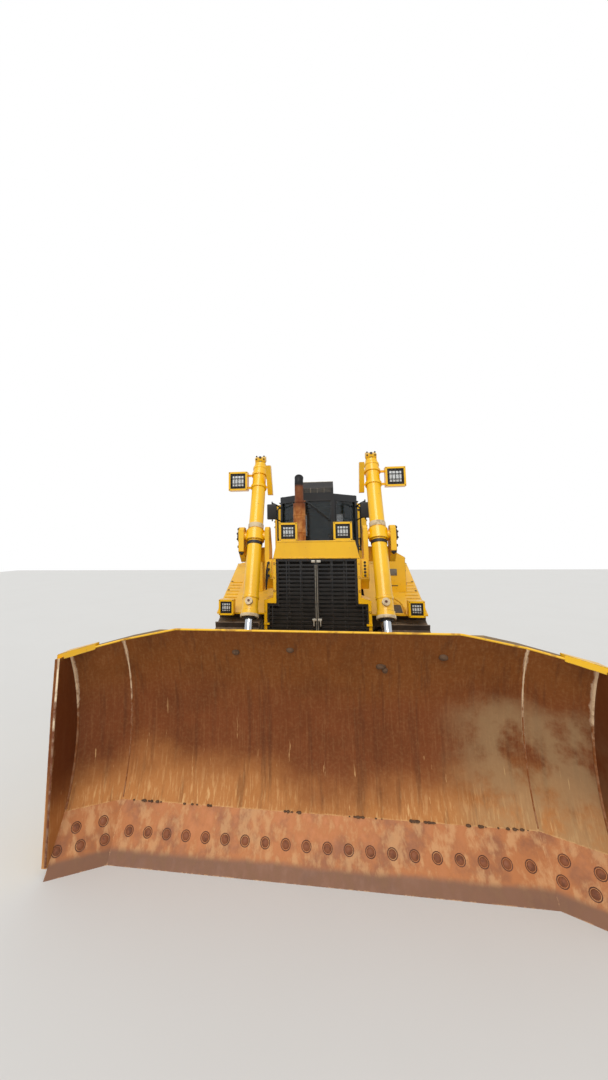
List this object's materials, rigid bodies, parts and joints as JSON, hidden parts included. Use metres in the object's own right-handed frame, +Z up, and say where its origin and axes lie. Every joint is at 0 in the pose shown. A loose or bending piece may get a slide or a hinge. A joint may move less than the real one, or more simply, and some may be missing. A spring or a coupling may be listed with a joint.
{
  "type": "bulldozer",
  "caption": "High-drive tracked bulldozer with a concave semi-universal blade on push arms, upright lift cylinders, hinged grille doors, enclosed cab and rear ripper.",
  "frame": {"origin": "on the ground under the middle of the whole machine, midway between the blade edge and the ripper", "axes": "+Z up, -Y towards the blade, +X towards the machine's left side"},
  "size_m": [3.94, 6.7708, 3.4024],
  "materials": {
    "body_paint": "semi-gloss warm yellow",
    "cab_paint": "satin black",
    "grille_paint": "satin black",
    "blade_rust": "worn, rusted steel with traces of paint",
    "edge_steel": "rusted, scoured edge steel",
    "track_steel": "worn dark steel",
    "wheel_steel": "oily dark steel",
    "frame_steel": "dusty black",
    "chrome": "polished",
    "exhaust": "heat-rusted",
    "glass": "tinted",
    "lamp": "yellow guard with clear lens",
    "core": "dusty fins",
    "seat": "black cloth",
    "trim": "textured black"
  },
  "bodies": {
    "machine": {"track_left": "track_steel", "track_right": "track_steel", "rollers_left": "wheel_steel", "rollers_right": "wheel_steel", "sprocket_left": "wheel_steel", "sprocket_right": "wheel_steel", "roller_frame_left": "body_paint", "roller_frame_right": "body_paint", "main_frame": "frame_steel", "equalizer_bar": "frame_steel", "radiator_core": "core", "radiator_guard": "body_paint", "lift_yokes": "body_paint", "engine_block": "frame_steel", "hood": "body_paint", "exhaust_stack": "exhaust", "cab_shell": "cab_paint", "cab_glass": "glass", "roof_unit": "cab_paint", "seat": "seat", "console": "trim", "rollover_frame": "body_paint", "fender_left": "body_paint", "fender_right": "body_paint", "hydraulic_tank": "body_paint", "tool_locker": "body_paint", "fuel_tank": "body_paint", "hood_lamps": "lamp", "fender_lamps": "lamp", "ripper_bracket": "body_paint"},
    "lift_carrier": {"trunnion_shells": "wheel_steel"},
    "blade": {"blade": "blade_rust", "cutting_edge": "edge_steel"},
    "push_arm_left": {"push_arm_left": "body_paint"},
    "push_arm_right": {"push_arm_right": "body_paint"},
    "tilt_brace": {"tilt_brace": "body_paint"},
    "tilt_barrel": {"tilt_barrel": "body_paint"},
    "tilt_rod": {"tilt_rod": "chrome"},
    "lift_barrel_left": {"lift_barrel_left": "body_paint", "lift_lamp_left": "lamp"},
    "lift_barrel_right": {"lift_barrel_right": "body_paint", "lift_lamp_right": "lamp"},
    "lift_rod_left": {"lift_rod_left": "chrome"},
    "lift_rod_right": {"lift_rod_right": "chrome"},
    "grille_door_left": {"grille_door_left": "grille_paint"},
    "grille_door_right": {"grille_door_right": "grille_paint"},
    "cab_door_left": {"cab_door_left": "cab_paint", "door_glass_left": "glass"},
    "cab_door_right": {"cab_door_right": "cab_paint", "door_glass_right": "glass"},
    "ripper_frame": {"ripper_frame": "body_paint"},
    "ripper_links": {"ripper_links": "body_paint"},
    "ripper_beam": {"ripper_beam": "body_paint", "ripper_shank": "edge_steel"},
    "ripper_barrels": {"ripper_barrels": "body_paint"},
    "ripper_rods": {"ripper_rods": "chrome"}
  },
  "joints": [
    {"name": "blade_lift", "type": "hinge", "parent": "machine", "child": "lift_carrier", "pos_m": [0, -0.12463, 0.56], "axis": [-1, 0, 0], "range_deg": [-10.8, 22.4]},
    {"name": "blade_tilt", "type": "hinge", "parent": "lift_carrier", "child": "blade", "pos_m": [0, -2.47463, 0.56], "axis": [0, 1, 0], "range_deg": [-5, 5]},
    {"name": "arm_swing_left", "type": "hinge", "parent": "lift_carrier", "child": "push_arm_left", "pos_m": [1.482, -0.12463, 0.56], "axis": [-1, 0, 0], "range_deg": [-3.25, 3.25]},
    {"name": "arm_swing_right", "type": "hinge", "parent": "lift_carrier", "child": "push_arm_right", "pos_m": [-1.482, -0.12463, 0.56], "axis": [-1, 0, 0], "range_deg": [-3.25, 3.25]},
    {"name": "brace_swing", "type": "hinge", "parent": "push_arm_left", "child": "tilt_brace", "pos_m": [1.482, -1.32463, 0.79], "axis": [0, 0.2998, 0.954], "range_deg": [-2.38, 2.38]},
    {"name": "tilt_barrel_swing", "type": "hinge", "parent": "push_arm_right", "child": "tilt_barrel", "pos_m": [-1.482, -1.32463, 0.79], "axis": [0, 0.2998, 0.954], "range_deg": [-2.38, 2.38]},
    {"name": "tilt_stroke", "type": "slide", "parent": "tilt_barrel", "child": "tilt_rod", "axis": [0, -0.954, 0.2998], "range_m": [-0.033, 0.033]},
    {"name": "lift_swing_left", "type": "hinge", "parent": "machine", "child": "lift_barrel_left", "pos_m": [0.7, -1.67463, 2.45], "axis": [-1, 0, 0], "range_deg": [-4.41, 9.03]},
    {"name": "lift_stroke_left", "type": "slide", "parent": "lift_barrel_left", "child": "lift_rod_left", "axis": [0, 0.3958, 0.9184], "range_m": [-0.421, 0.871]},
    {"name": "lift_swing_right", "type": "hinge", "parent": "machine", "child": "lift_barrel_right", "pos_m": [-0.7, -1.67463, 2.45], "axis": [-1, 0, 0], "range_deg": [-4.41, 9.03]},
    {"name": "lift_stroke_right", "type": "slide", "parent": "lift_barrel_right", "child": "lift_rod_right", "axis": [0, 0.3958, 0.9184], "range_m": [-0.421, 0.871]},
    {"name": "grille_swing_left", "type": "hinge", "parent": "machine", "child": "grille_door_left", "pos_m": [0.534, -1.78863, 1.56], "axis": [0, 0, 1], "range_deg": [0, 75]},
    {"name": "door_swing_left", "type": "hinge", "parent": "machine", "child": "cab_door_left", "pos_m": [0.614, 0.77937, 2.5], "axis": [0, 0, 1], "range_deg": [0, 80]},
    {"name": "grille_swing_right", "type": "hinge", "parent": "machine", "child": "grille_door_right", "pos_m": [-0.534, -1.78863, 1.56], "axis": [0, 0, -1], "range_deg": [0, 75]},
    {"name": "door_swing_right", "type": "hinge", "parent": "machine", "child": "cab_door_right", "pos_m": [-0.614, 0.77937, 2.5], "axis": [0, 0, -1], "range_deg": [0, 80]},
    {"name": "ripper_lift", "type": "hinge", "parent": "machine", "child": "ripper_frame", "pos_m": [0, 1.50537, 0.7], "axis": [1, 0, 0], "range_deg": [-25, 28]},
    {"name": "ripper_link_swing", "type": "hinge", "parent": "machine", "child": "ripper_links", "pos_m": [0, 1.50537, 1.13], "axis": [1, 0, 0], "range_deg": [-25.1, 28.1]},
    {"name": "ripper_beam_swing", "type": "hinge", "parent": "ripper_frame", "child": "ripper_beam", "pos_m": [0, 2.85537, 0.66], "axis": [1, 0, 0], "range_deg": [-28.1, 25.1]},
    {"name": "ripper_barrel_swing", "type": "hinge", "parent": "machine", "child": "ripper_barrels", "pos_m": [0, 1.36537, 1.33], "axis": [1, 0, 0], "range_deg": [-17.9, 20.04]},
    {"name": "ripper_stroke", "type": "slide", "parent": "ripper_barrels", "child": "ripper_rods", "axis": [0, 0.9216, -0.3881], "range_m": [-0.262, 0.234]}
  ],
  "couplings": [
    {"joint": "arm_swing_left", "follows": "blade_tilt", "ratio": -0.63034},
    {"joint": "arm_swing_right", "follows": "blade_tilt", "ratio": 0.63034},
    {"joint": "brace_swing", "follows": "blade_tilt", "ratio": 0.45518},
    {"joint": "tilt_barrel_swing", "follows": "blade_tilt", "ratio": 0.45518},
    {"joint": "tilt_stroke", "follows": "blade_tilt", "m_per_rad": 0.35607},
    {"joint": "lift_swing_left", "follows": "blade_lift", "ratio": 0.39879},
    {"joint": "lift_stroke_left", "follows": "blade_lift", "m_per_rad": 2.2233},
    {"joint": "lift_swing_right", "follows": "blade_lift", "ratio": 0.39879},
    {"joint": "lift_stroke_right", "follows": "blade_lift", "m_per_rad": 2.2233},
    {"joint": "ripper_link_swing", "follows": "ripper_lift", "ratio": 1},
    {"joint": "ripper_beam_swing", "follows": "ripper_lift", "ratio": -1},
    {"joint": "ripper_barrel_swing", "follows": "ripper_lift", "ratio": 0.71215},
    {"joint": "ripper_stroke", "follows": "ripper_lift", "m_per_rad": -0.5319}
  ]
}
